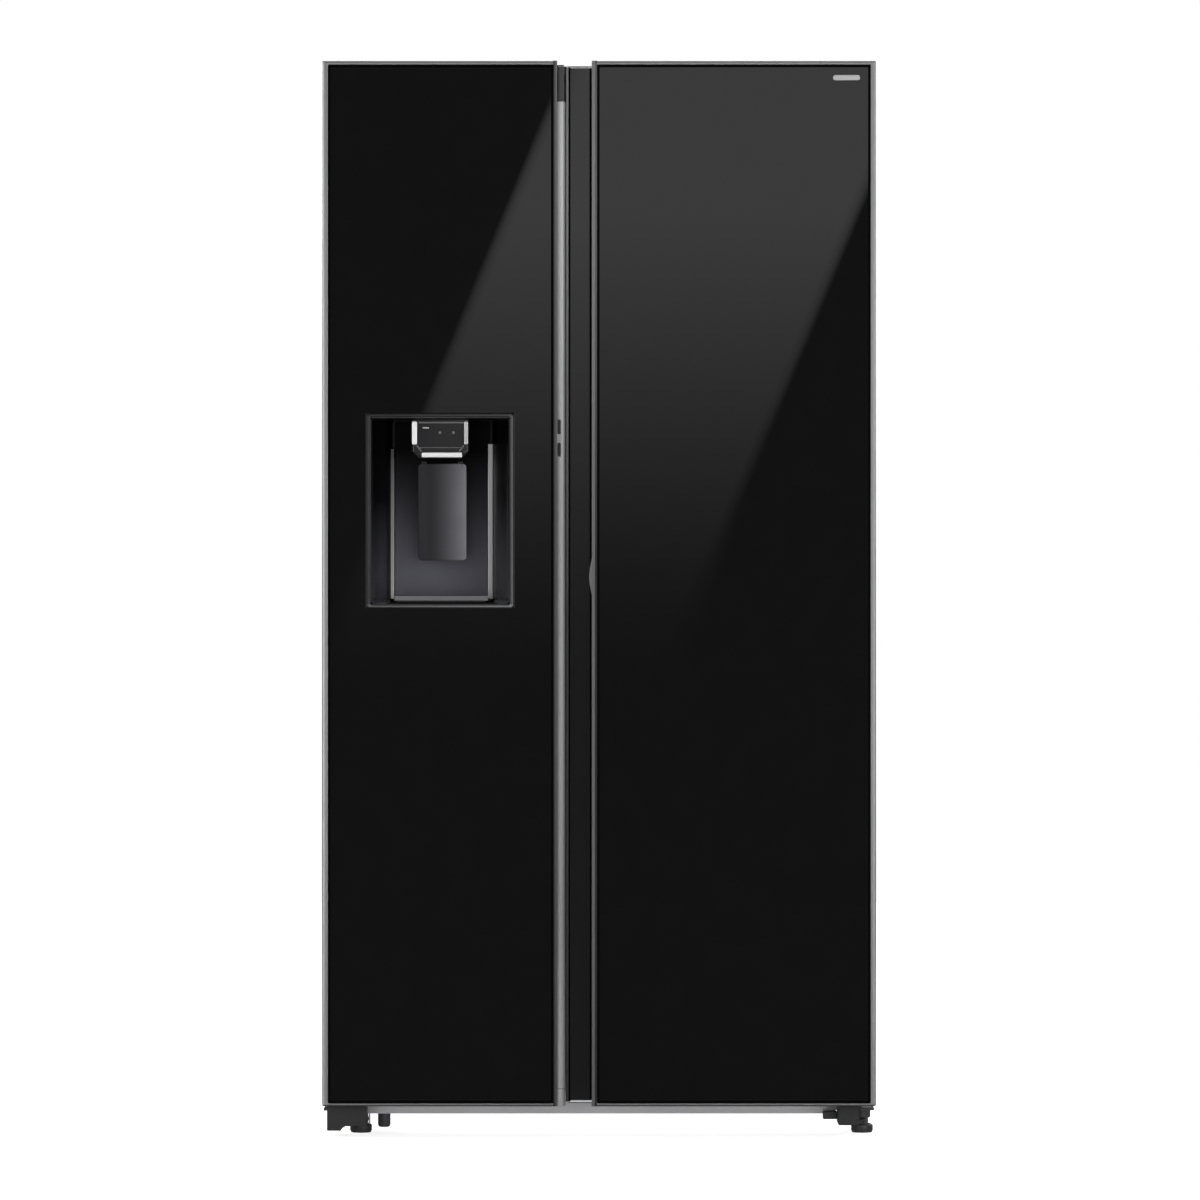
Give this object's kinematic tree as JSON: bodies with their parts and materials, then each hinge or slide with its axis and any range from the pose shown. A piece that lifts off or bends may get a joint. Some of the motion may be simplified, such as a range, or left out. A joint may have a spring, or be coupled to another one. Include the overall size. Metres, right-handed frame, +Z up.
{
  "type": "side by side refrigerator",
  "caption": "Side by side refrigerator with black glass doors, a water and ice dispenser in the freezer door, and a two-layer fridge door with inner bins.",
  "frame": {"origin": "on the floor under the middle of the overall box", "axes": "+X to the right as seen from the front, the doors face -Y, +Z up"},
  "size_m": [0.912, 0.716, 1.78],
  "materials": {
    "black_glass": "black back-painted glass, high gloss",
    "silver": "brushed anodised aluminium",
    "grey_trim": "satin grey anodised aluminium",
    "case_paint": "dark grey fine textured paint",
    "dark_plastic": "satin black moulded plastic",
    "bay_plastic": "dark bluish grey gloss plastic",
    "white_plastic": "white moulded plastic",
    "clear_plastic": "clear moulded plastic",
    "shelf_glass": "tempered clear glass",
    "gasket_rubber": "soft grey magnetic seal",
    "insulation": "rigid polyurethane foam",
    "zinc": "zinc plated steel",
    "condenser_paint": "black painted steel tube",
    "tyre_rubber": "hard black rubber"
  },
  "bodies": {
    "cabinet": {"side_panel_left": "case_paint", "side_panel_right": "case_paint", "top_panel": "case_paint", "back_panel": "zinc", "base_plate": "zinc", "cabinet_foam": "insulation", "freezer_liner": "white_plastic", "fridge_liner": "white_plastic", "top_cover": "dark_plastic", "upper_hinge_left": "zinc", "upper_hinge_right": "zinc", "lower_hinge_left": "zinc", "lower_hinge_right": "zinc", "compressor": "dark_plastic", "condenser_coil": "condenser_paint", "drain_pan": "dark_plastic", "machine_cover": "dark_plastic", "freezer_air_panel": "white_plastic", "fridge_air_panel": "white_plastic", "evaporator_coil": "zinc", "freezer_shelf": "shelf_glass", "fridge_shelf_1": "shelf_glass", "fridge_shelf_2": "shelf_glass", "fridge_shelf_3": "shelf_glass", "ice_maker": "white_plastic", "ice_bucket": "clear_plastic"},
    "freezer_door": {"freezer_door_core": "white_plastic", "freezer_door_glass": "black_glass", "freezer_door_trim": "grey_trim", "freezer_handle": "silver", "freezer_door_gasket": "gasket_rubber", "freezer_bin_lower": "clear_plastic", "freezer_bin_upper": "clear_plastic", "dispenser_frame": "grey_trim", "dispenser_bay": "bay_plastic", "dispenser_nozzle": "dark_plastic", "drip_tray": "bay_plastic"},
    "dispenser_paddle": {"dispenser_paddle": "bay_plastic"},
    "inner_door": {"inner_door_frame": "white_plastic", "inner_door_strip": "black_glass", "inner_door_gasket": "gasket_rubber", "fridge_bin_1": "clear_plastic", "fridge_bin_2": "clear_plastic", "fridge_bin_3": "clear_plastic"},
    "showcase_door": {"showcase_core": "white_plastic", "showcase_glass": "black_glass", "showcase_trim": "grey_trim", "showcase_gasket": "gasket_rubber"},
    "release_button": {"release_button": "grey_trim"},
    "freezer_drawer": {"freezer_drawer": "clear_plastic"},
    "fridge_drawer_upper": {"fridge_drawer_upper": "clear_plastic"},
    "fridge_drawer_lower": {"fridge_drawer_lower": "clear_plastic"},
    "levelling_foot_left": {"levelling_foot_left": "dark_plastic"},
    "levelling_foot_right": {"levelling_foot_right": "dark_plastic"},
    "front_roller_left": {"front_roller_left": "tyre_rubber"},
    "front_roller_right": {"front_roller_right": "tyre_rubber"},
    "rear_roller_left": {"rear_roller_left": "tyre_rubber"},
    "rear_roller_right": {"rear_roller_right": "tyre_rubber"},
    "condenser_fan": {"condenser_fan": "dark_plastic"},
    "evaporator_fan": {"evaporator_fan": "dark_plastic"}
  },
  "joints": [
    {"name": "freezer_door_hinge", "type": "hinge", "parent": "cabinet", "child": "freezer_door", "pos_m": [-0.44, -0.308, 0.9], "axis": [0, 0, -1], "range_deg": [0, 120]},
    {"name": "inner_door_hinge", "type": "hinge", "parent": "cabinet", "child": "inner_door", "pos_m": [0.44, -0.3, 0.9], "axis": [0, 0, 1], "range_deg": [0, 110]},
    {"name": "showcase_hinge", "type": "hinge", "parent": "inner_door", "child": "showcase_door", "pos_m": [0.449, -0.337, 0.9], "axis": [0, 0, 1], "range_deg": [0, 100]},
    {"name": "paddle_pivot", "type": "hinge", "parent": "freezer_door", "child": "dispenser_paddle", "pos_m": [-0.2585, -0.297, 1.105], "axis": [1, 0, 0], "range_deg": [0, 10], "stiffness_Nm_per_rad": 0.5},
    {"name": "button_press", "type": "slide", "parent": "showcase_door", "child": "release_button", "axis": [1, 0, 0], "range_m": [0, 0.003], "stiffness_N_per_m": 400},
    {"name": "freezer_drawer_slide", "type": "slide", "parent": "cabinet", "child": "freezer_drawer", "axis": [0, -1, 0], "range_m": [0, 0.2]},
    {"name": "fridge_drawer_upper_slide", "type": "slide", "parent": "cabinet", "child": "fridge_drawer_upper", "axis": [0, -1, 0], "range_m": [0, 0.2]},
    {"name": "fridge_drawer_lower_slide", "type": "slide", "parent": "cabinet", "child": "fridge_drawer_lower", "axis": [0, -1, 0], "range_m": [0, 0.15]},
    {"name": "foot_screw_left", "type": "hinge", "parent": "cabinet", "child": "levelling_foot_left", "pos_m": [-0.396, -0.225, 0.02], "axis": [0, 0, 1], "continuous": true},
    {"name": "foot_screw_right", "type": "hinge", "parent": "cabinet", "child": "levelling_foot_right", "pos_m": [0.4375, -0.225, 0.02], "axis": [0, 0, 1], "continuous": true},
    {"name": "front_roller_left_spin", "type": "hinge", "parent": "cabinet", "child": "front_roller_left", "pos_m": [-0.395, -0.17, 0.019], "axis": [1, 0, 0], "continuous": true},
    {"name": "front_roller_right_spin", "type": "hinge", "parent": "cabinet", "child": "front_roller_right", "pos_m": [0.4375, -0.17, 0.019], "axis": [1, 0, 0], "continuous": true},
    {"name": "rear_roller_left_spin", "type": "hinge", "parent": "cabinet", "child": "rear_roller_left", "pos_m": [-0.395, 0.3, 0.018], "axis": [1, 0, 0], "continuous": true},
    {"name": "rear_roller_right_spin", "type": "hinge", "parent": "cabinet", "child": "rear_roller_right", "pos_m": [0.395, 0.3, 0.018], "axis": [1, 0, 0], "continuous": true},
    {"name": "condenser_fan_spin", "type": "hinge", "parent": "cabinet", "child": "condenser_fan", "pos_m": [0.08, 0.235, 0.15], "axis": [1, 0, 0], "continuous": true},
    {"name": "evaporator_fan_spin", "type": "hinge", "parent": "cabinet", "child": "evaporator_fan", "pos_m": [-0.2395, 0.267, 1.2], "axis": [0, 1, 0], "continuous": true}
  ],
  "couplings": [
    {"joint": "freezer_drawer_slide", "follows": "freezer_door_hinge", "m_per_rad": 0.09548},
    {"joint": "fridge_drawer_upper_slide", "follows": "inner_door_hinge", "m_per_rad": 0.10416},
    {"joint": "fridge_drawer_lower_slide", "follows": "inner_door_hinge", "m_per_rad": 0.07812}
  ]
}
